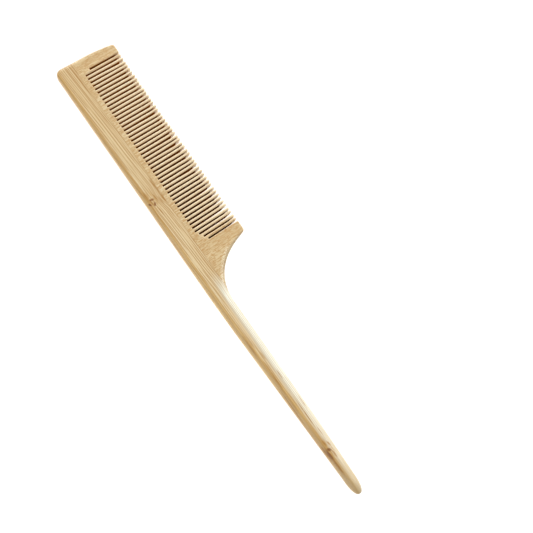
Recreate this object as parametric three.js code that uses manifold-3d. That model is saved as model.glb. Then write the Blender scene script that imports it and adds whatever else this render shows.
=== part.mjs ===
// Rat-tail comb of glued bamboo: a long-grain bar that is both the back of the comb and its tail handle,
// and five cross-grain tooth staves, edge-glued in a row and tongued into the bar.
// Millimetres, +Z up, the comb lying flat. While the pieces are made, x runs from the head end to the tip
// of the tail, y is 0 at the slot roots and grows towards the tooth tips, and z is 0 at the underside.

import * as THREE from "three";
import { mergeVertices } from "three/addons/utils/BufferGeometryUtils.js";
import Module from "manifold-3d";

const wasm = await Module();
wasm.setup();

// Driving dimensions.
const LENGTH = 226.6; // head end to the tip of the tail
const THICKNESS = 5.5; // one planed bamboo strip
const BACK_Y = -10.7; // the straight back of the comb
const TIP_Y = 19; // tooth tips
const HEAD_CORNER_R = 3; // plan radius where the back meets the head end

const SLOTS = 50;
const PITCH = 1.9; // slot to slot
const SLOT_WIDTH = 0.8;
const FIRST_SLOT_X = 7.05;
const FIRST_SLOT_ROOT = 3.2; // the first slot is cut less deep
const LAST_ROOT_STEP = 1.15; // each of the last three slots stops this much sooner than the one before
const LAST_SHORT_SLOTS = 3;
const FLARE_START_Y = 15.6; // the teeth are narrowed from here to their tips
const TOOTH_TIP_WIDTH = 0.5;

const TAPER_START_Y = 1; // the toothed side thins from here
const TIP_THICKNESS = 4.4;

const TAIL_BEND_X = 132; // the back of the tail leans towards the tooth side from here
const TAIL_END_BACK_Y = -8.3; // back edge of the tail where its nose starts
const TAIL_END_FRONT_Y = -3;
const NOSE_LENGTH = 9;

const BACK_EDGE_R_HEAD = 1.5; // rounding of the long edges at the head end
const BACK_EDGE_R_TAIL = 2.3; // and along the tail
const TOOTH_SIDE_EDGE_R = 0.6;

const GLUE_Y = -2.4; // the joint between the bar and the staves
const STAVE_FIRST_SLOTS = [7, 19, 32, 44]; // a new stave starts in the middle of each of these slots
const GLUE_GAP = 0.1;
const TONGUE_THICKNESS = 1.6;
const TONGUE_DEPTH = 2;
const TONGUE_END_X = 110; // the groove stops inside the fillet, so that no end of it shows

const EDGE_STEPS = 3; // facets in each quarter round
const CUT = 20; // how far cutting blocks reach past the wood

const slotX = (i) => FIRST_SLOT_X + i * PITCH;

// A closed geometry as a solid, and a solid as a geometry.
function toSolid(geometry) {
  const bare = geometry.clone();
  bare.deleteAttribute("normal");
  bare.deleteAttribute("uv");
  const merged = mergeVertices(bare, 1e-5);
  const vertProperties = merged.attributes.position.array;
  const triVerts = new Uint32Array(merged.index.array);
  return new wasm.Manifold(new wasm.Mesh({ numProp: 3, vertProperties, triVerts }));
}

function toGeometry(solid) {
  const mesh = solid.getMesh();
  const geometry = new THREE.BufferGeometry();
  geometry.setAttribute("position", new THREE.BufferAttribute(mesh.vertProperties, 3));
  geometry.setIndex(new THREE.BufferAttribute(mesh.triVerts, 1));
  geometry.computeVertexNormals();
  return geometry;
}

function block(x0, x1, y0, y1, z0, z1) {
  const box = new THREE.BoxGeometry(x1 - x0, y1 - y0, z1 - z0);
  box.translate((x0 + x1) / 2, (y0 + y1) / 2, (z0 + z1) / 2);
  return toSolid(box);
}

// The outline of the whole comb, seen from above, counter-clockwise from the head corner. The tail runs
// on past its tip, and the nose is shaped afterwards.
function combOutline() {
  const past = LENGTH + CUT;
  const outline = new THREE.Path();
  outline.moveTo(HEAD_CORNER_R, BACK_Y);
  outline.lineTo(TAIL_BEND_X - 14, BACK_Y);
  outline.quadraticCurveTo(TAIL_BEND_X, BACK_Y, TAIL_BEND_X + 14, BACK_Y + 0.4);
  outline.lineTo(LENGTH - NOSE_LENGTH, TAIL_END_BACK_Y);
  outline.lineTo(past, TAIL_END_BACK_Y);
  outline.lineTo(past, TAIL_END_FRONT_Y);
  outline.lineTo(LENGTH - NOSE_LENGTH, TAIL_END_FRONT_Y);
  outline.bezierCurveTo(192, -2.2, 157, -2.55, 129, -2.75);
  outline.bezierCurveTo(117, -2.75, 109.7, 4.3, 105.9, 17.9);
  outline.quadraticCurveTo(105.6, TIP_Y, 104.5, TIP_Y);
  outline.lineTo(2.9, TIP_Y);
  outline.quadraticCurveTo(1.9, TIP_Y, 1.7, 17.9);
  outline.bezierCurveTo(0.75, 14, 0.3, 2, 0, BACK_Y + HEAD_CORNER_R);
  outline.absarc(HEAD_CORNER_R, BACK_Y + HEAD_CORNER_R, HEAD_CORNER_R, Math.PI, 1.5 * Math.PI);
  const points = outline.getPoints(8);
  return points.filter((p, i) => i === 0 || p.distanceTo(points[i - 1]) > 0.05).slice(0, -1);
}

// Radius of the rounded edge at a point of the outline: it grows along the back and into the tail, and
// falls to a small rounding on the tooth side.
function edgeRadius(p) {
  const alongBack = THREE.MathUtils.clamp(p.x / 125, 0, 1);
  const onBack = THREE.MathUtils.lerp(BACK_EDGE_R_HEAD, BACK_EDGE_R_TAIL, alongBack);
  const onToothSide = THREE.MathUtils.smoothstep(p.y, GLUE_Y, 8);
  return THREE.MathUtils.lerp(onBack, TOOTH_SIDE_EDGE_R, onToothSide);
}

// The outline with all its edges rounded: rings of the outline, moved inwards as they near the flat
// underside and the flat top, and those two faces.
function roundedBoard(outline) {
  const count = outline.length;
  const inward = outline.map((p, i) => {
    const along = outline[(i + 1) % count].clone().sub(outline[(i + count - 1) % count]);
    return new THREE.Vector2(-along.y, along.x).normalize();
  });
  const positions = [];
  const ring = (angle, top) => {
    outline.forEach((p, i) => {
      const r = edgeRadius(p);
      const inset = r * (1 - Math.cos(angle));
      const height = r * (1 - Math.sin(angle));
      const q = p.clone().addScaledVector(inward[i], inset);
      positions.push(q.x, q.y, top ? THICKNESS - height : height);
    });
  };
  for (let k = EDGE_STEPS; k >= 0; k--) ring((k / EDGE_STEPS) * (Math.PI / 2), false);
  for (let k = 0; k <= EDGE_STEPS; k++) ring((k / EDGE_STEPS) * (Math.PI / 2), true);
  const rings = 2 * (EDGE_STEPS + 1);
  const index = [];
  for (let k = 0; k + 1 < rings; k++) {
    for (let i = 0; i < count; i++) {
      const a = k * count + i;
      const b = k * count + ((i + 1) % count);
      index.push(a, b, b + count, a, b + count, a + count);
    }
  }
  const at = (i) => new THREE.Vector2(positions[3 * i], positions[3 * i + 1]);
  const face = outline.map((p, i) => at(i));
  const topStart = (rings - 1) * count;
  for (const [a, b, c] of THREE.ShapeUtils.triangulateShape(face, [])) {
    index.push(a, c, b);
    index.push(topStart + a, topStart + b, topStart + c);
  }
  const geometry = new THREE.BufferGeometry();
  geometry.setAttribute("position", new THREE.Float32BufferAttribute(positions, 3));
  geometry.setIndex(index);
  return toSolid(geometry);
}

// The blunt pointed nose of the tail: a half ellipsoid on a long straight rod, wide enough to pass
// over everything behind the nose.
function noseEnvelope() {
  const halfWidth = (TAIL_END_FRONT_Y - TAIL_END_BACK_Y) / 2;
  const radius = halfWidth * 1.04;
  const steps = 7;
  const profile = [];
  for (let k = 0; k <= steps; k++) {
    const angle = (k / steps) * (Math.PI / 2);
    profile.push(new THREE.Vector2(radius * Math.sin(angle), NOSE_LENGTH * Math.cos(angle)));
  }
  profile.push(new THREE.Vector2(radius, -1));
  profile.push(new THREE.Vector2(radius * CUT, -1));
  profile.push(new THREE.Vector2(radius * CUT, -LENGTH - CUT));
  profile.push(new THREE.Vector2(0, -LENGTH - CUT));
  const nose = new THREE.LatheGeometry(profile.reverse(), 24);
  nose.rotateZ(-Math.PI / 2);
  const centreY = (TAIL_END_FRONT_Y + TAIL_END_BACK_Y) / 2;
  nose.translate(LENGTH - NOSE_LENGTH, centreY, THICKNESS / 2);
  return toSolid(nose);
}

// Thins everything past TAPER_START_Y evenly on both faces.
function taperToothSide(board) {
  const middle = THICKNESS / 2;
  const back = board.intersect(block(-CUT, LENGTH + CUT, BACK_Y - CUT, TAPER_START_Y, -CUT, CUT));
  const front = board.intersect(block(-CUT, LENGTH + CUT, TAPER_START_Y, TIP_Y + CUT, -CUT, CUT));
  const thinned = toGeometry(front);
  const position = thinned.attributes.position;
  for (let i = 0; i < position.count; i++) {
    const share = (position.getY(i) - TAPER_START_Y) / (TIP_Y - TAPER_START_Y);
    const scale = THREE.MathUtils.lerp(1, TIP_THICKNESS / THICKNESS, share);
    position.setZ(i, middle + (position.getZ(i) - middle) * scale);
  }
  return back.add(toSolid(thinned));
}

function slotRoot(i) {
  if (i === 0) return FIRST_SLOT_ROOT;
  return Math.max(0, i - (SLOTS - 1 - LAST_SHORT_SLOTS)) * LAST_ROOT_STEP;
}

// One slot: a saw kerf with small chamfers at its root, opening out between the tooth tips.
function slotCutter(i) {
  const half = SLOT_WIDTH / 2;
  const tipHalf = (PITCH - TOOTH_TIP_WIDTH) / 2;
  const root = slotRoot(i);
  const side = [
    [half - 0.15, root],
    [half, root + 0.15],
    [half, FLARE_START_Y],
    [half + 0.16, TIP_Y - 1],
    [tipHalf, TIP_Y - 0.1],
    [tipHalf, TIP_Y + 1],
  ];
  const shape = new THREE.Shape();
  shape.moveTo(-side[0][0], side[0][1]);
  side.forEach(([x, y]) => shape.lineTo(x, y));
  side
    .slice(1)
    .reverse()
    .forEach(([x, y]) => shape.lineTo(-x, y));
  const cutter = new THREE.ExtrudeGeometry(shape, { depth: 2 * CUT, bevelEnabled: false });
  cutter.translate(slotX(i), 0, -CUT);
  return toSolid(cutter);
}

// The wood of tongue or groove between two places along the comb.
function tongueBlock(x0, x1, clearance) {
  const half = TONGUE_THICKNESS / 2 + clearance;
  const middle = THICKNESS / 2;
  return block(x0, x1, GLUE_Y - TONGUE_DEPTH - clearance, GLUE_Y + 1, middle - half, middle + half);
}

function spineAndTail(blank) {
  const back = blank.intersect(block(-CUT, LENGTH + CUT, BACK_Y - CUT, GLUE_Y, -CUT, CUT));
  return back.subtract(tongueBlock(-CUT, TONGUE_END_X + GLUE_GAP, GLUE_GAP));
}

// The stave between two places along the comb, with its tongue and its slots.
function toothStave(blank, x0, x1) {
  const tongueStart = Math.max(x0, 0.6);
  const tongueEnd = Math.min(x1, TONGUE_END_X);
  let stave = blank
    .intersect(block(x0, x1, GLUE_Y + GLUE_GAP, TIP_Y + CUT, -CUT, CUT))
    .add(tongueBlock(tongueStart, tongueEnd, 0));
  for (let i = 0; i < SLOTS; i++) {
    if (slotX(i) > x0 - PITCH && slotX(i) < x1 + PITCH) stave = stave.subtract(slotCutter(i));
  }
  return stave;
}

function bamboo(name, solid, colour) {
  const material = new THREE.MeshStandardMaterial({ color: colour, roughness: 0.5, metalness: 0 });
  const mesh = new THREE.Mesh(toGeometry(solid), material);
  mesh.name = name;
  return mesh;
}

const blank = taperToothSide(roundedBoard(combOutline()).intersect(noseEnvelope()));

const comb = new THREE.Group();
comb.name = "comb";
comb.position.set(-LENGTH / 2, -(BACK_Y + TIP_Y) / 2, 0);
comb.add(bamboo("spine_and_tail", spineAndTail(blank), 0xddc396));

const STAVE_COLOURS = [0xd9bf93, 0xdec59b, 0xd8bb8c, 0xdec59a, 0xd6bb8c];
const seams = [-CUT, ...STAVE_FIRST_SLOTS.map(slotX), LENGTH + CUT];
for (let k = 0; k + 1 < seams.length; k++) {
  const start = k === 0 ? seams[k] : seams[k] + GLUE_GAP / 2;
  const end = seams[k + 1] - GLUE_GAP / 2;
  comb.add(bamboo("tooth_stave_" + (k + 1), toothStave(blank, start, end), STAVE_COLOURS[k]));
}

const model = new THREE.Group();
model.add(comb);

export default model;
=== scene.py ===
"""Looks for the bamboo rat-tail comb: a long-grain bar (back and tail) and five cross-grain staves.

Shapes are worked out in millimetres in the comb's own coordinates, which match the CAD part's: x runs
from the head end to the tip of the tail, y is 0 at the slot roots and grows towards the tooth tips, and
z is 0 at the underside. to_world() turns them into metres in the frame's coordinates.
"""

import math

import bpy
import numpy as np
from mathutils import Matrix, Vector


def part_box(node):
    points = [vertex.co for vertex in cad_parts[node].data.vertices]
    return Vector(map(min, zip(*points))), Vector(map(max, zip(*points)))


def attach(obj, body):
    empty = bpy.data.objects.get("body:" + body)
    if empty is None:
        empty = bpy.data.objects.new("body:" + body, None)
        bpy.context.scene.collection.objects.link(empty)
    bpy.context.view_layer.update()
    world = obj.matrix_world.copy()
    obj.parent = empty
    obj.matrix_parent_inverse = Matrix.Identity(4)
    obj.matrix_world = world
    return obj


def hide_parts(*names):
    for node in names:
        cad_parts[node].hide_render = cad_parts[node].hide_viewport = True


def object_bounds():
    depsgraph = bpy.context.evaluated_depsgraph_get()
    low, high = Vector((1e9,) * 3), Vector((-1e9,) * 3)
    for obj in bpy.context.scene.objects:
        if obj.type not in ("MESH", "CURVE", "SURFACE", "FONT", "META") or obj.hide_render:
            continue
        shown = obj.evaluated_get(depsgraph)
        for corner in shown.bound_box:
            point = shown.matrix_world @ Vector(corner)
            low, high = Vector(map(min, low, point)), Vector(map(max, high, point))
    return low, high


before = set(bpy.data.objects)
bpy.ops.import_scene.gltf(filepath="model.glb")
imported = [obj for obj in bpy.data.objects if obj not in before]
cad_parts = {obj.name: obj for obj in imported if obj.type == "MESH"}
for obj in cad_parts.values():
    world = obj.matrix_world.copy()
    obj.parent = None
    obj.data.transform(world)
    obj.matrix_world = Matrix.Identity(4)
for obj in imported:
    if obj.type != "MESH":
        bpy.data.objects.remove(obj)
CAD_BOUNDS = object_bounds()

# -------------------------------------------------------------------------------------- dimensions

MM = 0.001
LOW, HIGH = CAD_BOUNDS
BAR_LOW, BAR_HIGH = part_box("spine_and_tail")
STAVE_COUNT = 5

LENGTH = (HIGH.x - LOW.x) / MM
THICKNESS = (HIGH.z - LOW.z) / MM
MIDDLE = THICKNESS / 2
TIP_Y = 19.0
BACK_Y = TIP_Y - (HIGH.y - LOW.y) / MM
GLUE_Y = BACK_Y + (BAR_HIGH.y - BAR_LOW.y) / MM

SLOTS = 50
GUARD, HEEL = -1, SLOTS - 1  # the solid ends of the row of teeth, numbered like teeth
PITCH = 1.9
SLOT_HALF = 0.4
FIRST_SLOT_X = 7.05
FIRST_SLOT_ROOT = 3.2
LAST_ROOT_STEP = 1.15
LAST_SHORT_SLOTS = 3

HEAD_CORNER_R = 3.0
TAIL_BEND_X = 132.0
TAIL_END_BACK_Y = -8.3
TAIL_END_FRONT_Y = -3.0
NOSE_LENGTH = 9.0
NOSE_BLUNTNESS = 2.5  # 2 is an ellipse
TAPER_START_Y = 0.0
TIP_THICKNESS = 4.4

BACK_EDGE_R_HEAD = 1.5
BACK_EDGE_R_TAIL = 2.3
BACK_EDGE_GROWS_TO = 125.0
TAIL_FRONT_WEAR = 0.45  # how much wider the worn edge under the fingers is
TOOTH_SIDE_EDGE_R = 0.6
TOOTH_EDGE_R = 0.33  # rounding of the guard and the heel along their slots, and of the slot ends
TOOTH_CROWN_R = 0.72  # the teeth themselves are rounded right across
TOOTH_TIP_DROP = 0.8  # how far a tooth's face comes down at its tip, and over what length
TOOTH_TIP_DROP_LENGTH = 1.5
LEAST_HALF_HEIGHT = 0.15

TONGUE_HALF = 0.8
TONGUE_DEPTH = 2.0
TONGUE_END_X = 110.0
GROOVE_CLEARANCE = 0.1
GROOVE_SIDE_CLEARANCE = 0.03
JOINT_GAP = 0.01  # half of the hairline that is left at each glued joint

rng = np.random.default_rng(7)


def to_world(x, y, z):
    """Comb coordinates in millimetres to the frame's metres."""
    return np.stack([LOW.x + x * MM, LOW.y + (y - BACK_Y) * MM, LOW.z + z * MM], axis=-1)


def stave_seams():
    """x of the seams between the staves: halfway between the boxes of neighbouring staves."""
    boxes = [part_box(f"tooth_stave_{k + 1}") for k in range(STAVE_COUNT)]
    return [((a[1].x + b[0].x) / 2 - LOW.x) / MM for a, b in zip(boxes, boxes[1:])]


# ----------------------------------------------------------------------------------------- outline


def bezier(points, steps):
    """Points along a Bezier curve, both ends included."""
    t = np.linspace(0, 1, steps + 1)[:, None]
    rows = [np.tile(np.array(p, float), (steps + 1, 1)) for p in points]
    while len(rows) > 1:
        rows = [a * (1 - t) + b * t for a, b in zip(rows, rows[1:])]
    return rows[0]


def arc(centre, radius, start, end, steps):
    """Points along an arc between two angles in degrees."""
    angle = np.radians(np.linspace(start, end, steps + 1))
    return np.stack([centre[0] + radius * np.cos(angle), centre[1] + radius * np.sin(angle)], axis=1)


BEYOND = LENGTH + 20  # the tail's two long edges run on past the nose, which is shaped on its own
NOSE_X = LENGTH - NOSE_LENGTH
NOSE_Y = (TAIL_END_BACK_Y + TAIL_END_FRONT_Y) / 2
NOSE_HALF_WIDTH = (TAIL_END_FRONT_Y - TAIL_END_BACK_Y) / 2
BACK_LINE = np.concatenate(
    [
        [(HEAD_CORNER_R, BACK_Y)],
        bezier(
            [(TAIL_BEND_X - 14, BACK_Y), (TAIL_BEND_X, BACK_Y), (TAIL_BEND_X + 14, BACK_Y + 0.4)],
            16,
        ),
        [(NOSE_X, TAIL_END_BACK_Y), (BEYOND, TAIL_END_BACK_Y)],
    ]
)
TAIL_FRONT_LINE = np.concatenate(
    [
        [(BEYOND, TAIL_END_FRONT_Y)],
        bezier([(NOSE_X, TAIL_END_FRONT_Y), (192, -2.2), (157, -2.55), (129, -2.75)], 24),
    ]
)
FILLET_LINE = np.concatenate(
    [
        bezier([(129, -2.75), (117, -2.75), (109.7, 4.3), (105.9, 17.9)], 48),
        bezier([(105.9, 17.9), (105.6, TIP_Y), (104.5, TIP_Y)], 8)[1:],
    ]
)
HEAD_LINE = np.concatenate(
    [
        bezier([(2.9, TIP_Y), (1.9, TIP_Y), (1.7, 17.9)], 8),
        bezier([(1.7, 17.9), (0.75, 14), (0.3, 2), (0, BACK_Y + HEAD_CORNER_R)], 24)[1:],
    ]
)
HEAD_CORNER = arc((HEAD_CORNER_R, BACK_Y + HEAD_CORNER_R), HEAD_CORNER_R, 180, 270, 16)
OUTLINE = np.concatenate([BACK_LINE, TAIL_FRONT_LINE, FILLET_LINE[1:], HEAD_LINE, HEAD_CORNER[1:]])


def back_y(x):
    """The comb's back edge: the rounded head corner, then the back and the tail."""
    line = np.concatenate([HEAD_CORNER, BACK_LINE[1:]])
    return np.interp(x, line[:, 0], line[:, 1])


def tail_front_y(x):
    """The front edge of the tail, and of the low end of the fillet."""
    line = np.concatenate([TAIL_FRONT_LINE, FILLET_LINE[1:]])[::-1]
    return np.interp(x, line[:, 0], line[:, 1])


def head_x(y):
    """The head end."""
    return np.interp(y, HEAD_LINE[::-1, 1], HEAD_LINE[::-1, 0])


def fillet_x(y):
    """The outer edge of the heel and its fillet."""
    return np.interp(y, FILLET_LINE[:, 1], FILLET_LINE[:, 0])


def distance_to_outline(x, y):
    """Distance from plan points to the nearest edge of the comb's outline."""
    start, end = OUTLINE, np.roll(OUTLINE, -1, axis=0)
    along = end - start
    best = np.full(x.shape, np.inf)
    for a, d in zip(start, along):
        length2 = d @ d
        if length2 < 1e-12:
            continue
        t = np.clip(((x - a[0]) * d[0] + (y - a[1]) * d[1]) / length2, 0, 1)
        best = np.minimum(best, np.hypot(x - a[0] - t * d[0], y - a[1] - t * d[1]))
    return best


def smoothstep(value, low, high):
    """0 up to low, 1 from high on, and a smooth rise between."""
    t = np.clip((value - low) / (high - low), 0, 1)
    return t * t * (3 - 2 * t)


def edge_radius(x, y):
    """Radius of the rounded outer edge: it grows along the back, and is small on the tooth side."""
    grown = np.clip(x / BACK_EDGE_GROWS_TO, 0, 1)
    on_back = BACK_EDGE_R_HEAD + (BACK_EDGE_R_TAIL - BACK_EDGE_R_HEAD) * grown
    on_tooth_side = smoothstep(y, GLUE_Y, 8)
    return on_back + (TOOTH_SIDE_EDGE_R - on_back) * on_tooth_side


def edge_drop(distance, radius, width=None):
    """How far a rounded edge lies under the flat face, at a distance in from the edge."""
    inside = np.clip(1 - distance / (radius if width is None else width), 0, 1)
    return radius * (1 - np.sqrt(1 - inside**2))


def edge_width(x, y):
    """How far in the rounding reaches: the front of the tail, under the fingers, is worn wider."""
    worn = smoothstep(x, 112, 130) * smoothstep(y, -7.2, -5.2)
    return edge_radius(x, y) * (1 + TAIL_FRONT_WEAR * worn)


def taper(y):
    """Share of the full thickness: 1 on the back, then a soft start into an even taper to the tips."""
    soft = 0.3
    t = np.clip((y - TAPER_START_Y) / (TIP_Y - TAPER_START_Y), 0, 1)
    share = np.where(t < soft, t**2 / (2 * soft), t - soft / 2) / (1 - soft / 2)
    return 1 + (TIP_THICKNESS / THICKNESS - 1) * share


def nose_share(x):
    """Share of the tail's full width that the blunt round nose has at x."""
    t = np.clip((x - NOSE_X) / NOSE_LENGTH, 0, 1)
    return (1 - t**NOSE_BLUNTNESS) ** (1 / NOSE_BLUNTNESS)


def nose_height(x, y):
    """Half thickness of the round nose at the tip of the tail; large everywhere behind it."""
    at_x = 1.04 * NOSE_HALF_WIDTH * nose_share(x)
    height = np.sqrt(np.maximum(at_x**2 - (y - NOSE_Y) ** 2, 0))
    return np.where(x > NOSE_X, height, THICKNESS)


def half_height(x, y):
    """Half of the comb's thickness, with its outer edges rounded."""
    drop = edge_drop(distance_to_outline(x, y), edge_radius(x, y), edge_width(x, y))
    return np.minimum(MIDDLE * taper(y) - drop, nose_height(x, y))


# ----------------------------------------------------------------------------------- mesh building


def mesh_object(name, points, faces):
    """A new object in the scene, from points in metres."""
    mesh = bpy.data.meshes.new(name)
    mesh.from_pydata(points.tolist(), [], faces)
    mesh.validate()
    piece = bpy.data.objects.new(name, mesh)
    bpy.context.scene.collection.objects.link(piece)
    return piece


def closed_sheet(name, x, y, height, cells, shaded_walls=None):
    """A closed solid over a grid of plan points, height above and below the middle of the board.

    cells says which grid cells are wood. Every edge that only one such cell has gets an upright wall.
    Walls between two points that are both marked in the last argument get the piece's second material, the
    painted shade of the slot walls.
    """
    rows, columns = x.shape
    used = np.zeros((rows, columns), bool)
    for dr in (0, 1):
        for dc in (0, 1):
            used[dr : rows - 1 + dr, dc : columns - 1 + dc] |= cells
    number = np.full((rows, columns), -1)
    number[used] = np.arange(used.sum())
    count = int(used.sum())
    top = to_world(x[used], y[used], MIDDLE + height[used])
    bottom = to_world(x[used], y[used], MIDDLE - height[used])
    faces = []
    edges = {}
    for r, c in np.argwhere(cells):
        corners = ((r, c), (r, c + 1), (r + 1, c + 1), (r + 1, c))
        quad = [int(number[corner]) for corner in corners]
        faces.append(quad)
        faces.append([v + count for v in reversed(quad)])
        for a, b in zip(quad, quad[1:] + quad[:1]):
            if (b, a) in edges:
                del edges[(b, a)]
            else:
                edges[(a, b)] = True
    walls = [[b, a, a + count, b + count] for a, b in edges]
    piece = mesh_object(name, np.concatenate([top, bottom]), faces + walls)
    if shaded_walls is not None:
        marked = shaded_walls[used]
        for polygon, (b, a, _, _) in zip(piece.data.polygons[len(faces) :], walls):
            polygon.material_index = int(marked[a] and marked[b])
    return piece


def box_object(name, x0, x1, y0, y1, z0, z1):
    """A plain block, given in comb coordinates."""
    corners = [(x, y, z) for z in (z0, z1) for y in (y0, y1) for x in (x0, x1)]
    faces = [(0, 2, 3, 1), (4, 5, 7, 6), (0, 1, 5, 4), (2, 6, 7, 3), (0, 4, 6, 2), (1, 3, 7, 5)]
    return mesh_object(name, to_world(*np.array(corners, float).T), faces)


def boolean(piece, tool, operation):
    """Joins tool to piece or cuts it out, and removes tool."""
    modifier = piece.modifiers.new("joint", "BOOLEAN")
    modifier.operation = operation
    modifier.solver = "EXACT"
    modifier.object = tool
    depsgraph = bpy.context.evaluated_depsgraph_get()
    made = bpy.data.meshes.new_from_object(piece.evaluated_get(depsgraph))
    piece.modifiers.clear()
    piece.data = made
    bpy.data.objects.remove(tool)


def shade(piece, angle=50):
    """Smooth shading, broken at edges sharper than angle."""
    piece.data.shade_smooth()
    piece.data.set_sharp_from_angle(angle=math.radians(angle))


# ----------------------------------------------------------------------------------------- the bar


def bar_stations():
    """Places along the bar, close together where it is shaped."""
    head = HEAD_CORNER_R * (1 - np.cos(np.linspace(0, math.pi / 2, 10)))
    back = np.arange(4.5, 104, 2.0)
    fillet = np.arange(104.5, 134, 0.75)
    tail = np.linspace(135, NOSE_X, 50)
    nose_angles = np.radians([8, 16, 24, 32, 40, 48, 55, 61, 67, 72, 77, 81, 85, 88])
    nose = NOSE_X + NOSE_LENGTH * np.sin(nose_angles)
    return np.concatenate([head, back, fillet, tail, nose])


def bar_grid():
    """x, y and half height of the bar's grid: one row to a station, from the back edge to the front."""
    station = bar_stations()[:, None]
    across = (1 - np.cos(np.linspace(0, math.pi, 25)))[None, :] / 2
    front = np.where(station < fillet_x(GLUE_Y), GLUE_Y - JOINT_GAP, tail_front_y(station))
    half = NOSE_HALF_WIDTH * nose_share(station)
    low = np.where(station > NOSE_X, NOSE_Y - half, back_y(station))
    high = np.where(station > NOSE_X, NOSE_Y + half, front)
    y = low + (high - low) * across
    x = station + head_x(y) * np.clip(1 - station / 10, 0, 1)
    return x, y, np.maximum(half_height(x, y), 0.02)


def groove_block():
    """The wood that the staves' groove takes out of the bar."""
    return box_object(
        "groove",
        -5,
        TONGUE_END_X + GROOVE_CLEARANCE,
        GLUE_Y - TONGUE_DEPTH - GROOVE_CLEARANCE,
        GLUE_Y + 2,
        MIDDLE - TONGUE_HALF - GROOVE_SIDE_CLEARANCE,
        MIDDLE + TONGUE_HALF + GROOVE_SIDE_CLEARANCE,
    )


def bar_piece():
    """The back and the tail, in one piece, with the groove along its inner side."""
    x, y, height = bar_grid()
    cells = np.ones((x.shape[0] - 1, x.shape[1] - 1), bool)
    bar = closed_sheet("bamboo_bar", x.T, y.T, height.T, cells.T)
    boolean(bar, groove_block(), "DIFFERENCE")
    shade(bar)
    return bar


# -------------------------------------------------------------------------------------- the staves


def slot_x(i):
    """x of the middle of a slot."""
    return FIRST_SLOT_X + i * PITCH


def slot_root(i):
    """y of the closed end of a slot: 0 for all but the first and the last few, which are shorter."""
    if i == 0:
        return FIRST_SLOT_ROOT
    return max(0, i - (SLOTS - 1 - LAST_SHORT_SLOTS)) * LAST_ROOT_STEP


# Small differences that a saw and a sanding belt leave: where each tooth ends (the row of tips is a little
# hollow), how wide each slot is, how far a tooth leans, and how far one of its sides is swept back.
HOLLOW = 0.25 * np.exp(-(((np.arange(SLOTS) - 15) / 7) ** 2))
TOOTH_TIP = np.minimum(TIP_Y - 0.03 - HOLLOW + rng.normal(0, 0.08, SLOTS), TIP_Y)
SLOT_EXTRA = rng.normal(0, 0.022, SLOTS + 1)
TOOTH_LEAN = rng.normal(-0.02, 0.11, SLOTS + 1)
TOOTH_SWEEP = np.linspace(0.38, 0.2, SLOTS + 1) + rng.normal(0, 0.12, SLOTS + 1)
SWEEP_LENGTH = 5.5
STRAIGHT_SIDE_FLARE = 0.07
STRAIGHT_SIDE_LENGTH = 2.5
CORNER_ROUNDING = 0.16
CORNER_LENGTH = 0.5
TIP_ROWS = np.array([3.8, 3.1, 2.5, 2.0, 1.5, 1.1, 0.8, 0.58, 0.42, 0.3, 0.2, 0.12, 0.06, 0.02, 0.0])


def tooth_tip(i):
    """y of the end of tooth i, which stands between slots i and i + 1."""
    return TIP_Y if i in (GUARD, HEEL) else TOOTH_TIP[i]


def slot_side(i, tooth, side, y):
    """x of the edge of tooth on slot i. side is +1 where the tooth lies towards +X of the slot."""
    to_tip = tooth_tip(tooth) - y
    if side > 0:
        flare = STRAIGHT_SIDE_FLARE * smoothstep(-to_tip, -STRAIGHT_SIDE_LENGTH, 0)
    else:
        flare = TOOTH_SWEEP[i] * np.clip(1 - to_tip / SWEEP_LENGTH, 0, 1) ** 2
    end = np.clip(1 - to_tip / CORNER_LENGTH, 0, 1)
    round_off = CORNER_ROUNDING * (1 - np.sqrt(1 - end**2))
    lean = 0 if tooth in (GUARD, HEEL) else TOOTH_LEAN[tooth] * smoothstep(y, 3, TIP_Y)
    return slot_x(i) + lean + side * (SLOT_HALF + SLOT_EXTRA[i] + flare + round_off)


ACROSS_TOOTH = np.array([-1, -0.93, -0.8, -0.58, -0.28, 0, 0.28, 0.58, 0.8, 0.93, 1])
ROOT_ROWS = np.array([0.5, 0.3, 0.16, 0.07, 0.02, 0.0])


def stave_rows(first_slot, last_slot):
    """y of a stave's grid rows up to where its teeth start to narrow, with the slot roots among them."""
    roots = sorted({slot_root(i) for i in range(first_slot, last_slot + 1)})
    near_roots = np.concatenate([root - ROOT_ROWS for root in roots])
    last_y = TIP_Y - TIP_ROWS[0] - 0.9
    plain = np.concatenate([[GLUE_Y + JOINT_GAP, -2.2, -1.8, -1.3, -0.9], np.arange(0.6, last_y, 1.2)])
    plain = [y for y in plain if np.min(np.abs(near_roots - y)) > 0.12 or y < -1]
    return np.array(sorted([*plain, *near_roots]))


def stave_columns(stave, seams):
    """The stave's grid columns, as (kind, index, place), with the slots it starts and ends at.

    A tooth column's place runs from -1 to 1 across the tooth, and a slot column's from 0 to 1.
    """
    first = 0 if stave == 0 else round((seams[stave - 1] - FIRST_SLOT_X) / PITCH)
    last = SLOTS - 1 if stave == STAVE_COUNT - 1 else round((seams[stave] - FIRST_SLOT_X) / PITCH)
    columns = []
    if stave == 0:
        guard = 1 - np.cos(np.linspace(0, math.pi, 19))
        columns += [("tooth", GUARD, p - 1) for p in guard]
        columns += [("slot", first, 0.33), ("slot", first, 0.67)]
    else:
        columns += [("slot", first, 0.5), ("slot", first, 0.75)]
    for tooth in range(first, last):
        columns += [("tooth", tooth, p) for p in ACROSS_TOOTH]
        if tooth + 1 < last or stave == STAVE_COUNT - 1:
            columns += [("slot", tooth + 1, 0.33), ("slot", tooth + 1, 0.67)]
    if stave == STAVE_COUNT - 1:
        heel = 1 - np.cos(np.linspace(0, math.pi, 31))
        columns += [("tooth", HEEL, p - 1) for p in heel]
    else:
        columns += [("slot", last, 0.25), ("slot", last, 0.5)]
    return columns, first, last


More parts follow.
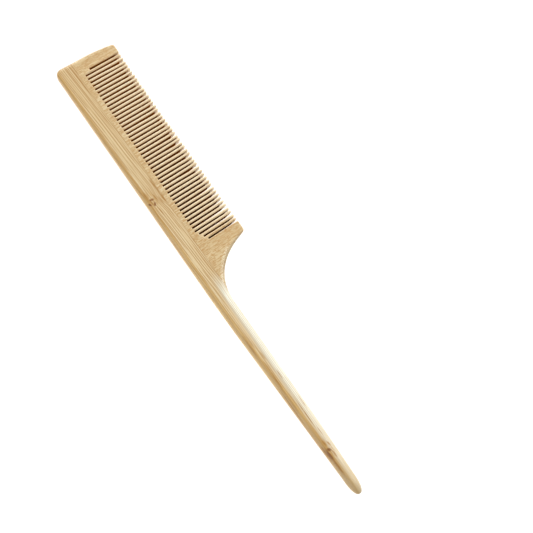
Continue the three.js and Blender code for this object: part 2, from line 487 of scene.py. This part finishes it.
def slot_column(i, place, rows, first_slot):
    """x, y and half height of a grid column across slot i. At place 0.5 it is the edge of the stave."""
    y = np.concatenate([rows, np.full(len(TIP_ROWS), rows[-1])])
    left = slot_side(i, i - 1, -1, y)
    right = slot_side(i, i, 1, y)
    x = left + (right - left) * place
    if place == 0.5:
        x = np.full(len(y), slot_x(i) + (JOINT_GAP if i == first_slot else -JOINT_GAP))
    return x, y, MIDDLE * taper(y) - edge_drop(slot_root(i) - y, TOOTH_EDGE_R)


def tooth_drop(i, from_middle, place, y, slot_drop):
    """How far a tooth's rounded face lies under the flat one, with its crown, its tip and its root."""
    crown = TOOTH_CROWN_R - np.sqrt(TOOTH_CROWN_R**2 - np.minimum(from_middle**2, 0.4))
    beside = slot_root(i) if place < 0 else slot_root(i + 1)
    crown *= smoothstep(y, beside - 0.5, beside + 0.9)
    tip_drop = edge_drop(tooth_tip(i) - y, TOOTH_TIP_DROP, TOOTH_TIP_DROP_LENGTH)
    return np.hypot(np.maximum(slot_drop * 0.6, crown), tip_drop)


def tooth_column(i, place, rows):
    """x, y and half height of a grid column across tooth i, the guard or the heel."""
    y = np.concatenate([rows, tooth_tip(i) - TIP_ROWS])
    left = head_x(y) if i == GUARD else slot_side(i, i, 1, y)
    right = fillet_x(y) if i == HEEL else slot_side(i + 1, i, -1, y)
    x = left + (right - left) * (place + 1) / 2
    to_slot = np.full(len(y), np.inf)
    if i != GUARD:
        to_slot = np.hypot(x - left, np.maximum(slot_root(i) - y, 0))
    if i != HEEL:
        to_slot = np.minimum(to_slot, np.hypot(right - x, np.maximum(slot_root(i + 1) - y, 0)))
    slot_drop = edge_drop(to_slot, TOOTH_EDGE_R)
    if i in (GUARD, HEEL):
        return x, y, half_height(x, y) - slot_drop
    from_middle = place * (right - left) / 2
    return x, y, MIDDLE * taper(y) - tooth_drop(i, from_middle, place, y, slot_drop)


def stave_cells(columns, row_y):
    """Which cells of the grid are wood: all but those in a slot, past its root."""
    cells = np.ones((len(row_y) - 1, len(columns) - 1), bool)
    for c, pair in enumerate(zip(columns, columns[1:])):
        slots = [i for kind, i, _ in pair if kind == "slot"]
        if slots:
            cells[:, c] = row_y[1:] <= slot_root(slots[0]) + 1e-6
    return cells


# The painted shade on each slot wall stops short of the tooth's tip, which keeps the stave's own colour.
# How far short it stops on the two sides of a tooth:
UNSHADED_STRAIGHT_SIDE = 0.6
UNSHADED_SWEPT_SIDE = 2.2


def shaded_wall_points(columns, row_y, y):
    """Grid points on the slot walls that get the painted shade."""
    shaded_walls = np.zeros(y.shape, bool)
    for c, (kind, i, place) in enumerate(columns):
        outer = (i == GUARD and place < 0) or (i == HEEL and place > 0)
        at_slot = kind == "slot" or (abs(place) == 1 and not outer)
        unshaded = UNSHADED_SWEPT_SIDE if place == 1 else UNSHADED_STRAIGHT_SIDE
        shaded_walls[:, c] = at_slot & (row_y >= -0.01) & (y[:, c] < TIP_Y - unshaded)
    return shaded_walls


def tongue_block(stave, seams):
    """The part of the tongue that one stave carries."""
    return box_object(
        "tongue",
        head_x(GLUE_Y) + 0.03 if stave == 0 else seams[stave - 1] + 2 * JOINT_GAP,
        TONGUE_END_X if stave == STAVE_COUNT - 1 else seams[stave] - 2 * JOINT_GAP,
        GLUE_Y - TONGUE_DEPTH,
        GLUE_Y + 0.9,
        MIDDLE - TONGUE_HALF,
        MIDDLE + TONGUE_HALF,
    )


def stave_piece(stave, seams):
    """One stave with its teeth and its tongue. The slot walls get its second material, a dark brown
    painted shade.
    """
    columns, first, last = stave_columns(stave, seams)
    rows = stave_rows(first, last)
    made = []
    for kind, i, place in columns:
        if kind == "slot":
            made.append(slot_column(i, place, rows, first))
        else:
            made.append(tooth_column(i, place, rows))
    x, y, height = (np.stack(part, axis=1) for part in zip(*made))
    height = np.maximum(height, LEAST_HALF_HEIGHT)
    row_y = np.concatenate([rows, np.full(len(TIP_ROWS), TIP_Y)])
    cells = stave_cells(columns, row_y)
    shaded_walls = shaded_wall_points(columns, row_y, y)
    piece = closed_sheet(f"bamboo_tooth_stave_{stave + 1}", x, y, height, cells, shaded_walls)
    boolean(piece, tongue_block(stave, seams), "UNION")
    shade(piece)
    return piece


# --------------------------------------------------------------------------------------- materials


class Graph:
    """A material's nodes, made by short calls that return sockets."""

    def __init__(self, name):
        self.material = bpy.data.materials.new(name)
        self.material.use_nodes = True
        self.tree = self.material.node_tree
        self.tree.nodes.clear()

    def node(self, kind, inputs=(), **settings):
        made = self.tree.nodes.new(kind)
        for key, value in settings.items():
            setattr(made, key, value)
        for key, value in dict(inputs).items():
            self.put(made.inputs[key], value)
        return made

    def put(self, socket, value):
        if isinstance(value, bpy.types.NodeSocket):
            self.tree.links.new(value, socket)
        else:
            socket.default_value = value

    def math(self, operation, a, b=0.0, c=0.0):
        return self.node("ShaderNodeMath", {0: a, 1: b, 2: c}, operation=operation).outputs[0]

    def times(self, a, b):
        return self.math("MULTIPLY", a, b)

    def minus(self, a, b):
        return self.math("SUBTRACT", a, b)

    def split(self, vector):
        return self.node("ShaderNodeSeparateXYZ", {0: vector}).outputs

    def join(self, x, y, z=0.0):
        return self.node("ShaderNodeCombineXYZ", {0: x, 1: y, 2: z}).outputs[0]

    def stretch(self, vector, scale, offset=(0, 0, 0)):
        inputs = {0: vector, 1: scale, 2: offset}
        return self.node("ShaderNodeVectorMath", inputs, operation="MULTIPLY_ADD").outputs[0]

    def length(self, vector):
        return self.node("ShaderNodeVectorMath", {0: vector}, operation="LENGTH").outputs["Value"]

    def noise(self, vector, detail=2.0, roughness=0.5):
        inputs = {"Vector": vector, "Scale": 1.0, "Detail": detail, "Roughness": roughness}
        return self.node("ShaderNodeTexNoise", inputs).outputs["Fac"]

    def between(self, value, low, high, to_low=0.0, to_high=1.0):
        """to_low up to low, to_high from high on, and a smooth change between."""
        inputs = {0: value, 1: low, 2: high, 3: to_low, 4: to_high}
        return self.node("ShaderNodeMapRange", inputs, interpolation_type="SMOOTHSTEP").outputs[0]

    def ramp(self, value, stops):
        node = self.node("ShaderNodeValToRGB", {0: value})
        elements = node.color_ramp.elements
        while len(elements) < len(stops):
            elements.new(0.5)
        for element, (place, colour) in zip(elements, stops):
            element.position = place
            element.color = colour
        return node.outputs[0]

    def mix(self, share, a, b):
        node = self.node("ShaderNodeMix", data_type="RGBA")
        self.put(node.inputs[0], share)
        self.put(node.inputs[6], a)
        self.put(node.inputs[7], b)
        return node.outputs[2]

    def finish(self, inputs):
        """Ends the graph in a Principled surface and returns the material."""
        shader = self.node("ShaderNodeBsdfPrincipled", inputs)
        self.node("ShaderNodeOutputMaterial", {0: shader.outputs[0]})
        return self.material


def srgb(r, g, b):
    """A colour given in 0 to 255 display values, as linear light."""
    linear = [((v / 255 + 0.055) / 1.055) ** 2.4 if v > 10 else v / 255 / 12.92 for v in (r, g, b)]
    return (*linear, 1)


# Wood colours, from the bar's light bands to the darkest strokes at the nodes.
PALE = srgb(224, 204, 159)
HONEY = srgb(214, 188, 140)
TAN = srgb(204, 172, 118)
BROWN = srgb(167, 117, 40)
DARK = srgb(134, 80, 6)

HEAD_TAN = srgb(205, 174, 123)
HEEL_PALE = srgb(228, 206, 162)
RIND = srgb(210, 168, 96)
RIND_PAST_HEEL = srgb(222, 184, 112)
RIND_ON_TAIL = srgb(180, 139, 76)
LIGHT_STREAK = srgb(228, 204, 158)
# Pale sapwood on the front of the tail, whitened into a painted highlight, and the grain lines drawn over
# it.
SAPWOOD_AND_HIGHLIGHT = srgb(232, 232, 215)
SAPWOOD_AND_HIGHLIGHT_LINE = srgb(190, 158, 106)
# Darker tan for the tip of the tail.
TAIL_TIP_TAN = srgb(194, 169, 120)
NODE_WRINKLE = srgb(188, 144, 72)
# Grey painted shade along the head's rim.
RIM_SHADE_GREY = srgb(172, 150, 110)
FLECK = srgb(186, 138, 72)
# Whitish painted glints on the fillet's bevel.
FILLET_GLINT = srgb(244, 234, 205)
# Grey painted shade along the fillet's edge.
FILLET_EDGE_SHADE = srgb(150, 136, 108)
# Paler tone of the teeth: partly their own wood, partly a painted highlight on their rounded tops.
TOOTH_TONE_AND_HIGHLIGHT = srgb(240, 224, 188)
# Dark browns painted on the slot walls as shade.
SLOT_SHADE_TAN = srgb(172, 108, 38)
SLOT_SHADE_BROWN = srgb(140, 82, 18)
SLOT_SHADE_DARK = srgb(98, 42, 2)

# Light, middle and dark tones of the two sorts of tooth stave.
STAVE_WOODS = {
    "stave_bamboo_pale": (srgb(222, 201, 157), srgb(211, 185, 138), srgb(196, 165, 113)),
    "stave_bamboo_warm": (srgb(220, 196, 149), srgb(208, 181, 132), srgb(194, 160, 107)),
}
PALE_STAVES = (1, 3)


def comb_coordinates(g):
    """The surface point in comb coordinates, in millimetres."""
    position = g.node("ShaderNodeTexCoord").outputs["Object"]
    scale = (1 / MM,) * 3
    offset = (-LOW.x / MM, BACK_Y - LOW.y / MM, -LOW.z / MM)
    return g.stretch(position, scale, offset)


def streaks(g, fibre, along, across, seed, low, high, strength):
    """A mask of streaks along the fibres; along and across are how often they change per millimetre."""
    shift = (seed * 17.3, seed * 5.1, seed * 9.7)
    value = g.noise(g.stretch(fibre, (along, across, across * 0.8), shift), detail=2.0, roughness=0.55)
    return g.between(value, low, high, 0.0, strength)


def fibre_lines(g, fibre, spacing, width, seed, share, strength, pace=0.035):
    """A mask of fine lines, one to each spacing across the fibres. Each runs for a while and stops.

    share is about how much of their length is there, and pace is how often per millimetre they come and
    go.
    """
    x, across, _ = g.split(fibre)
    place = g.math("MULTIPLY_ADD", across, 1 / spacing, 40.0 + seed * 9.0)
    line = g.math("FLOOR", place)
    middle = g.node("ShaderNodeTexWhiteNoise", {"W": line}, noise_dimensions="1D").outputs["Value"]
    middle = g.between(middle, 0.0, 1.0, 0.25, 0.75)
    off_line = g.math("ABSOLUTE", g.minus(g.minus(place, line), middle))
    mask = g.between(off_line, 0.0, width / spacing, strength, 0.0)
    there = g.noise(g.join(g.times(x, pace), g.times(line, 3.7)), detail=1.0)
    return g.times(mask, g.between(there, 0.62 - share * 0.3, 0.72 - share * 0.3))


def spot(g, point, place, size, turn=0.0):
    """A soft-edged oval mark on the top face, which goes less than 3 mm deep."""
    inputs = {
        "Vector": point,
        "Location": (*place, THICKNESS),
        "Rotation": (0, 0, math.radians(turn)),
        "Scale": (*size, 3.0),
    }
    inside = g.node("ShaderNodeMapping", inputs, vector_type="TEXTURE").outputs[0]
    return g.between(g.length(inside), 0.35, 1.0, 1.0, 0.0)


def along_only(g, value, place, reach):
    """1 at a place, falling to 0 at a distance reach from it."""
    off = g.math("ABSOLUTE", g.minus(value, place))
    return g.between(off, 0.0, reach, 1.0, 0.0)


def bamboo_finish(g, colour, pores, strands):
    """The sanded and waxed surface: a soft sheen, a little duller in the open grain."""
    relief = g.math("MULTIPLY_ADD", pores, -1.0, g.math("MULTIPLY_ADD", strands, 0.6, 0.5))
    bump = g.node("ShaderNodeBump", {"Strength": 0.3, "Distance": 0.00006, "Height": relief}).outputs[0]
    rough = g.between(relief, 0.2, 0.8, 0.42, 0.3)
    inputs = {"Base Color": colour, "Roughness": rough, "Normal": bump, "Specular IOR Level": 0.8}
    return g.finish(inputs)


def head_rim_shade(g, x, y, colour):
    """The head's end gets a little grey painted shade along its rim, which is taken as a parabola."""
    along_end = g.math("MULTIPLY_ADD", y, 1 / 25.6, 7.7 / 25.6)
    end_x = g.times(g.math("POWER", g.math("ABSOLUTE", along_end), 2.0), 1.7)
    rim = g.between(g.minus(x, end_x), 0.3, 1.0, 0.45, 0.0)
    return g.mix(rim, colour, RIM_SHADE_GREY)


# ------------------------------------------------------------------------- long grain, for the bar

# The two nodes of the bamboo strip that the bar is cut from, and the single strokes that stand out in
# it: marks as (x, y), (half length, half width), turn in degrees, and how dark.
HEAD_NODE = (73.0, -7.6)
TAIL_NODE = (203.8, -6.4)
MARKS = [
    ((9.0, -3.3), (12.0, 0.45), 2.3, 0.8),
    ((72.3, -7.6), (1.6, 0.7), 78, 1.0),
    ((73.9, -9.4), (1.2, 0.6), 30, 1.0),
    ((74.7, -7.4), (1.4, 0.65), -30, 1.0),
    ((73.6, -8.3), (2.2, 0.45), 8, 0.9),
    ((69.5, -8.9), (3.4, 0.42), 3, 0.9),
    ((74.4, -2.8), (2.8, 0.5), 2, 0.95),
    ((70.5, -2.9), (9.0, 0.45), 1, 0.7),
    ((74.6, -4.2), (3.0, 0.42), 5, 0.7),
    ((72.2, -5.6), (2.6, 0.4), 8, 0.8),
    ((78.5, -7.0), (3.2, 0.4), 5, 0.8),
    ((66.5, -3.1), (3.6, 0.42), 3, 0.85),
    ((203.8, -6.3), (1.4, 0.95), 40, 1.0),
    ((205.4, -7.8), (4.8, 1.2), 4, 0.95),
    ((206.0, -7.4), (3.6, 0.75), 5, 1.0),
    ((203.0, -8.3), (3.2, 0.55), 2, 0.95),
    ((211.5, -7.2), (6.0, 0.65), 2, 0.95),
    ((200.3, -6.5), (2.2, 0.5), 6, 0.95),
    ((201.6, -4.9), (1.8, 0.5), 10, 0.85),
    ((206.5, -5.3), (2.6, 0.45), 5, 0.85),
    ((195.2, -4.9), (3.0, 0.34), 4, 0.65),
    ((168.5, -7.8), (4.0, 0.45), 3, 0.7),
    ((166.0, -5.2), (3.2, 0.34), 1, 0.7),
    ((155.5, -6.6), (3.2, 0.36), 2, 0.6),
    ((186.5, -5.7), (10.0, 0.36), 0.5, 0.85),
    ((181.0, -8.85), (14.0, 0.42), 0, 0.75),
    ((149.0, -8.9), (8.0, 0.42), 0, 0.7),
    ((162.5, -7.7), (8.0, 0.42), 1, 0.75),
    ((181.0, -3.8), (4.5, 0.34), 0.5, 0.6),
]

# Sets of fine lines in the bar: spacing, width, seed, share and strength.
BAR_LINES = ((0.84, 0.24, 3, 0.75, 1.0), (0.55, 0.16, 5, 0.6, 0.7))


def bar_fibres(g, point):
    """Coordinates that follow the bar's fibres.

    They cross the head at a slight angle, run straighter down the tail and crowd at the nodes. On the
    edges they go on counting down the edge, so the lines there are as fine as on the faces.
    """
    x, y, z = g.split(point)
    wander = g.noise(g.stretch(point, (0.025, 0.12, 0.01)), detail=1.0)
    across = g.math("MULTIPLY_ADD", g.math("MINIMUM", x, 120.0), -0.055, y)
    across = g.math("MULTIPLY_ADD", g.math("MAXIMUM", x, 120.0), -0.008, across)
    down = g.times(g.minus(THICKNESS, z), g.between(y, -9.7, -3.7, -0.9, 0.9))
    across = g.math("ADD", g.math("ADD", across, down), g.math("MULTIPLY_ADD", wander, 1.2, -0.6))
    for place, y_node in (HEAD_NODE, TAIL_NODE):
        near = along_only(g, x, place, 7.0)
        crowded = g.times(g.times(near, g.minus(y, y_node)), 0.35)
        across = g.math("ADD", across, crowded)
    return g.join(x, across, z)


def bar_lines(g, x, fibre, colour):
    """Fine brown lines along the fibres, with coarser ones on the tail."""
    for line_set in BAR_LINES:
        colour = g.mix(fibre_lines(g, fibre, *line_set), colour, BROWN)
    tail_lines = fibre_lines(g, fibre, 1.05, 0.3, 14, 0.75, 0.85)
    return g.mix(g.times(tail_lines, g.between(x, 125.0, 170.0)), colour, BROWN)


def bar_rind(g, x, y, fibre, colour):
    """The honey-coloured outer side of the bamboo along the back, browner along the tail."""
    past_bend = g.math("MAXIMUM", g.minus(x, TAIL_BEND_X), 0.0)
    back_line = g.math("MULTIPLY_ADD", past_bend, 0.028, BACK_Y)
    from_back = g.minus(g.minus(y, back_line), g.times(x, 0.006))
    rind_colour = g.mix(g.between(x, 95.0, 120.0), RIND, RIND_PAST_HEEL)
    colour = g.mix(g.between(from_back, 1.1, 1.8, 0.7, 0.0), colour, rind_colour)
    on_tail = g.times(g.between(x, 145.0, 205.0), g.between(from_back, 0.3, 1.5, 0.55, 0.0))
    colour = g.mix(on_tail, colour, RIND_ON_TAIL)
    lines = fibre_lines(g, fibre, 0.7, 0.35, 8, 0.5, 0.6)
    return g.mix(g.times(lines, g.between(from_back, 1.2, 2.2, 1.0, 0.0)), colour, BROWN)


def bar_sapwood_and_highlight(g, point, x, y, fibre, colour):
    """The pale inner side of the bamboo along the front of the tail, whitened further as a painted
    highlight, and a light streak beside it.
    """
    light_streak = spot(g, point, (139.0, -7.1), (17.0, 0.8), 1.0)
    colour = g.mix(g.times(light_streak, 0.6), colour, LIGHT_STREAK)
    sapwood_and_highlight = g.times(g.between(y, -7.0, -4.6), g.between(x, 112.0, 128.0))
    sapwood_and_highlight = g.times(sapwood_and_highlight, g.between(x, 150.0, 222.0, 0.95, 0.35))
    # Painted near white here: partly the sapwood's own pale tone, partly a painted highlight on the
    # rounded front of the tail.
    colour = g.mix(sapwood_and_highlight, colour, SAPWOOD_AND_HIGHLIGHT)
    lines = fibre_lines(g, fibre, 0.9, 0.28, 11, 0.9, 1.0)
    return g.mix(g.times(lines, sapwood_and_highlight), colour, SAPWOOD_AND_HIGHLIGHT_LINE)


def bar_marks(g, point, fibre, colour):
    """The wrinkled wood round the two nodes, and the single dark strokes."""
    for place in (HEAD_NODE, TAIL_NODE):
        around = spot(g, point, place, (7.0, 3.4))
        wrinkles = g.times(around, streaks(g, fibre, 0.3, 2.6, 6, 0.48, 0.56, 0.75))
        colour = g.mix(wrinkles, colour, NODE_WRINKLE)
    ragged = g.between(g.noise(g.stretch(point, (1.2, 3.0, 3.0)), detail=2.0), 0.3, 0.5, 0.6, 1.0)
    for place, size, turn, darkness in MARKS:
        mark = g.times(spot(g, point, place, size, turn), ragged)
        colour = g.mix(g.times(mark, darkness), colour, DARK if darkness == 1.0 else BROWN)
    return colour


def bar_material():
    """Long grain: soft bands, thin brown lines, a honey-coloured back, pale sapwood with a painted
    highlight on the front of the tail, and two nodes.
    """
    g = Graph("bamboo_long_grain")
    point = comb_coordinates(g)
    x, y, _ = g.split(point)
    fibre = bar_fibres(g, point)

    bands = g.noise(g.stretch(fibre, (0.008, 0.6, 0.4)), detail=3.0, roughness=0.6)
    colour = g.ramp(bands, [(0.33, TAN), (0.46, HONEY), (0.62, PALE)])
    strands = streaks(g, fibre, 0.03, 2.6, 1, 0.42, 0.62, 0.3)
    colour = g.mix(strands, colour, PALE)
    colour = g.mix(g.between(x, 15.0, 65.0, 0.4, 0.0), colour, HEAD_TAN)
    colour = g.mix(g.between(x, 45.0, 95.0, 0.0, 0.4), colour, HEEL_PALE)
    colour = bar_lines(g, x, fibre, colour)
    pores = streaks(g, fibre, 0.35, 6.5, 4, 0.56, 0.68, 0.35)
    colour = g.mix(pores, colour, TAN)

    colour = bar_rind(g, x, y, fibre, colour)
    colour = bar_sapwood_and_highlight(g, point, x, y, fibre, colour)
    # Darker tan towards the tip of the tail.
    colour = g.mix(g.between(x, 204.0, 220.0, 0.0, 0.5), colour, TAIL_TIP_TAN)
    colour = head_rim_shade(g, x, y, colour)
    colour = bar_marks(g, point, fibre, colour)

    seam = g.times(along_only(g, y, GLUE_Y, 0.28), g.between(bands, 0.4, 0.55, 0.25, 0.6))
    colour = g.mix(g.times(seam, g.between(x, 114.0, 118.0, 1.0, 0.0)), colour, BROWN)
    return bamboo_finish(g, colour, pores, strands)


# --------------------------------------------------------------------- cross grain, for the staves

# Sets of short flecks in the staves: spacing, width, seed, share, strength and pace.
STAVE_FLECKS = (
    (0.7, 0.24, 2, 0.5, 0.7, 0.12),
    (0.6, 0.26, 6, 0.4, 1.0, 0.4),
    (0.5, 0.24, 7, 0.3, 1.0, 0.8),
)

# The ellipse that the heel's fillet follows, and its mean radius.
FILLET_CENTRE = (129.0, 19.05)
FILLET_RADII = (22.6, 21.8)
FILLET_MEAN_RADIUS = 22.2


def stave_fibres(g, point, seed):
    """Coordinates that follow a stave's fibres, which run along the teeth."""
    x, y, z = g.split(point)
    wander = g.noise(g.stretch(point, (0.2, 0.05, 0.1), (seed * 3.1, 0, 0)), detail=1.0)
    across = g.math("ADD", x, g.math("MULTIPLY_ADD", wander, 1.0, seed * 50.0))
    across = g.math("MULTIPLY_ADD", z, 0.3, across)
    return g.join(y, across, z)


def fillet_glints_and_shade(g, point, y, colour):
    """Painted glints on the bevel of the heel's fillet, where light grazes its end grain, and a grey
    painted shade along its edge.
    """
    (cx, cy), (rx, ry) = FILLET_CENTRE, FILLET_RADII
    to_centre = g.stretch(point, (1 / rx, 1 / ry, 0), (-cx / rx, -cy / ry, 0))
    from_fillet = g.math("MULTIPLY_ADD", g.length(to_centre), FILLET_MEAN_RADIUS, -FILLET_MEAN_RADIUS)
    glint_speckle = g.noise(g.stretch(point, (3.2, 3.2, 3.2)), detail=1.0)
    on_bevel = g.times(along_only(g, from_fillet, 1.3, 1.1), g.between(y, 6.0, 11.0, 1.0, 0.0))
    colour = g.mix(g.times(on_bevel, g.between(glint_speckle, 0.5, 0.58)), colour, FILLET_GLINT)
    return g.mix(g.between(from_fillet, 0.2, 1.1, 0.4, 0.0), colour, FILLET_EDGE_SHADE)


def stave_material(name, seed, light, middle, dark):
    """Cross grain: fibres along the teeth, with short orange flecks, stronger towards the heel."""
    g = Graph(name)
    point = comb_coordinates(g)
    x, y, _ = g.split(point)
    fibre = stave_fibres(g, point, seed)

    bands = g.noise(g.stretch(fibre, (0.02, 0.5, 0.4)), detail=3.0, roughness=0.6)
    colour = g.ramp(bands, [(0.33, dark), (0.47, middle), (0.62, light)])
    strands = streaks(g, fibre, 0.08, 2.4, 1, 0.44, 0.62, 0.4)
    colour = g.mix(strands, colour, light)
    to_heel = g.between(x, 60.0, 112.0, 0.8, 1.0)
    for fleck_set in STAVE_FLECKS:
        colour = g.mix(g.times(fibre_lines(g, fibre, *fleck_set), to_heel), colour, FLECK)
    pores = streaks(g, fibre, 0.6, 5.5, 4, 0.56, 0.68, 0.4)
    colour = g.mix(pores, colour, dark)
    colour = fillet_glints_and_shade(g, point, y, colour)
    colour = head_rim_shade(g, x, y, colour)

    # The teeth are painted paler: partly their own tone, partly a painted highlight on their rounded tops.
    in_teeth = g.times(g.between(x, 7.0, 9.0), g.between(x, 95.0, 101.0, 1.0, 0.0))
    colour = g.mix(g.times(in_teeth, g.between(y, 0.1, 1.6, 0.0, 0.45)), colour, TOOTH_TONE_AND_HIGHLIGHT)
    seam = g.times(along_only(g, y, GLUE_Y, 0.25), g.between(bands, 0.4, 0.55, 0.2, 0.5))
    colour = g.mix(seam, colour, BROWN)
    return bamboo_finish(g, colour, pores, strands)


def slot_shade_material(name):
    """The dull walls of the slots, painted dark brown as shade, darker still towards the heel."""
    g = Graph(name)
    point = comb_coordinates(g)
    x, _, _ = g.split(point)
    wall_streaks = g.noise(g.stretch(point, (3.0, 0.35, 4.0)), detail=2.0)
    colour = g.ramp(wall_streaks, [(0.35, SLOT_SHADE_BROWN), (0.65, SLOT_SHADE_TAN)])
    colour = g.mix(g.between(x, 35.0, 100.0, 0.0, 0.6), colour, SLOT_SHADE_DARK)
    return g.finish({"Base Color": colour, "Roughness": 0.85, "Specular IOR Level": 0.0})


# -------------------------------------------------------------------------------- floor and lights


def floor_piece():
    """A wide white floor, level with the comb's underside."""
    half = 3.0
    corners = np.array([(-half, -half, 0), (half, -half, 0), (half, half, 0), (-half, half, 0)], float)
    floor = mesh_object("floor", corners, [(0, 1, 2, 3)])
    paint = {"Base Color": (0.92, 0.92, 0.92, 1), "Roughness": 0.9}
    floor.data.materials.append(Graph("pale_floor").finish(paint))
    return floor


def area_light(name, towards, distance, size, radiance, lit):
    """A soft light facing the comb from a direction, as bright as radiance says.

    It lights only the objects in lit, or everything if lit is None.
    """
    data = bpy.data.lights.new(name, "AREA")
    data.shape = "RECTANGLE"
    data.size, data.size_y = size
    data.energy = radiance * math.pi * size[0] * size[1]
    light = bpy.data.objects.new(name, data)
    direction = Vector(towards).normalized()
    light.location = direction * distance
    light.rotation_mode = "QUATERNION"
    light.rotation_quaternion = direction.to_track_quat("Z", "Y")
    bpy.context.scene.collection.objects.link(light)
    if lit:
        receivers = bpy.data.collections.new(name + "_lights")
        for piece in lit:
            receivers.objects.link(piece)
        light.light_linking.receiver_collection = receivers
    return light


def lighting(floor, pieces):
    """A wide window towards the head end, a tall card beyond the teeth and a low fill by the back.

    These three light only the comb. The floor has its own lamp above it, as a white sweep has, and the
    comb doesn't shade that one. So the comb has modelling, and the floor stays white in its gaps.
    """
    world = bpy.data.worlds.new("studio")
    world.use_nodes = True
    background = world.node_tree.nodes["Background"]
    background.inputs["Color"].default_value = (1, 1, 1, 1)
    background.inputs["Strength"].default_value = 0.42
    bpy.context.scene.world = world
    area_light("window", (-0.85, 0.55, 0.45), 1.6, (1.4, 1.2), 4.6, pieces)
    area_light("tall_card", (0.05, 1.0, 0.8), 1.5, (1.5, 0.8), 2.4, pieces)
    area_light("low_fill", (0.2, -1.0, 0.45), 1.5, (1.6, 0.9), 1.3, pieces)
    area_light("overhead", (0, 0, 1), 1.8, (1.4, 1.4), 0.25, None)
    floor_lamp = area_light("floor_lamp", (0, 0, 1), 1.9, (1.6, 1.6), 5.0, [floor])
    floor_lamp.light_linking.blocker_collection = floor_lamp.light_linking.receiver_collection


CAMERA_AZIMUTH = 19.5
CAMERA_ELEVATION = 75.3
CAMERA_ROLL = 35.9
CAMERA_DISTANCE = 0.35
CAMERA_TARGET = Vector((0.0113, 0.0132, HIGH.z))  # level with the top face, beside the heel
LENS = 54.0


def camera():
    """Looks steeply down from the back's side, rolled so that the head is at the upper left."""
    data = bpy.data.cameras.new("camera")
    data.lens = LENS
    data.sensor_width = 36
    made = bpy.data.objects.new("camera", data)
    azimuth, elevation = math.radians(CAMERA_AZIMUTH), math.radians(CAMERA_ELEVATION)
    level = math.cos(elevation)
    away = Vector((math.sin(azimuth) * level, -math.cos(azimuth) * level, math.sin(elevation)))
    upright = away.to_track_quat("Z", "Y").to_matrix().to_4x4()
    roll = Matrix.Rotation(math.radians(CAMERA_ROLL), 4, "Z")
    made.matrix_world = Matrix.Translation(CAMERA_TARGET + away * CAMERA_DISTANCE) @ upright @ roll
    bpy.context.scene.collection.objects.link(made)
    bpy.context.scene.camera = made


# ------------------------------------------------------------------------------------------- scene


def build():
    """Camera, floor, the six pieces with their materials, and the lights."""
    bpy.context.scene.view_settings.view_transform = "Standard"
    camera()
    floor = floor_piece()

    bar = bar_piece()
    bar.data.materials.append(bar_material())
    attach(bar, "root")
    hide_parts("spine_and_tail")
    pieces = [bar]

    seams = stave_seams()
    for stave in range(STAVE_COUNT):
        piece = stave_piece(stave, seams)
        slot = "stave_bamboo_pale" if stave in PALE_STAVES else "stave_bamboo_warm"
        wood = stave_material(f"{slot}_{stave + 1}", stave + 1, *STAVE_WOODS[slot])
        piece.data.materials.append(wood)
        # The second material paints the slot walls dark brown as shade.
        piece.data.materials.append(slot_shade_material(f"slot_wall_shade_{stave + 1}"))
        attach(piece, "root")
        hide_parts(f"tooth_stave_{stave + 1}")
        pieces.append(piece)
    lighting(floor, pieces)


build()
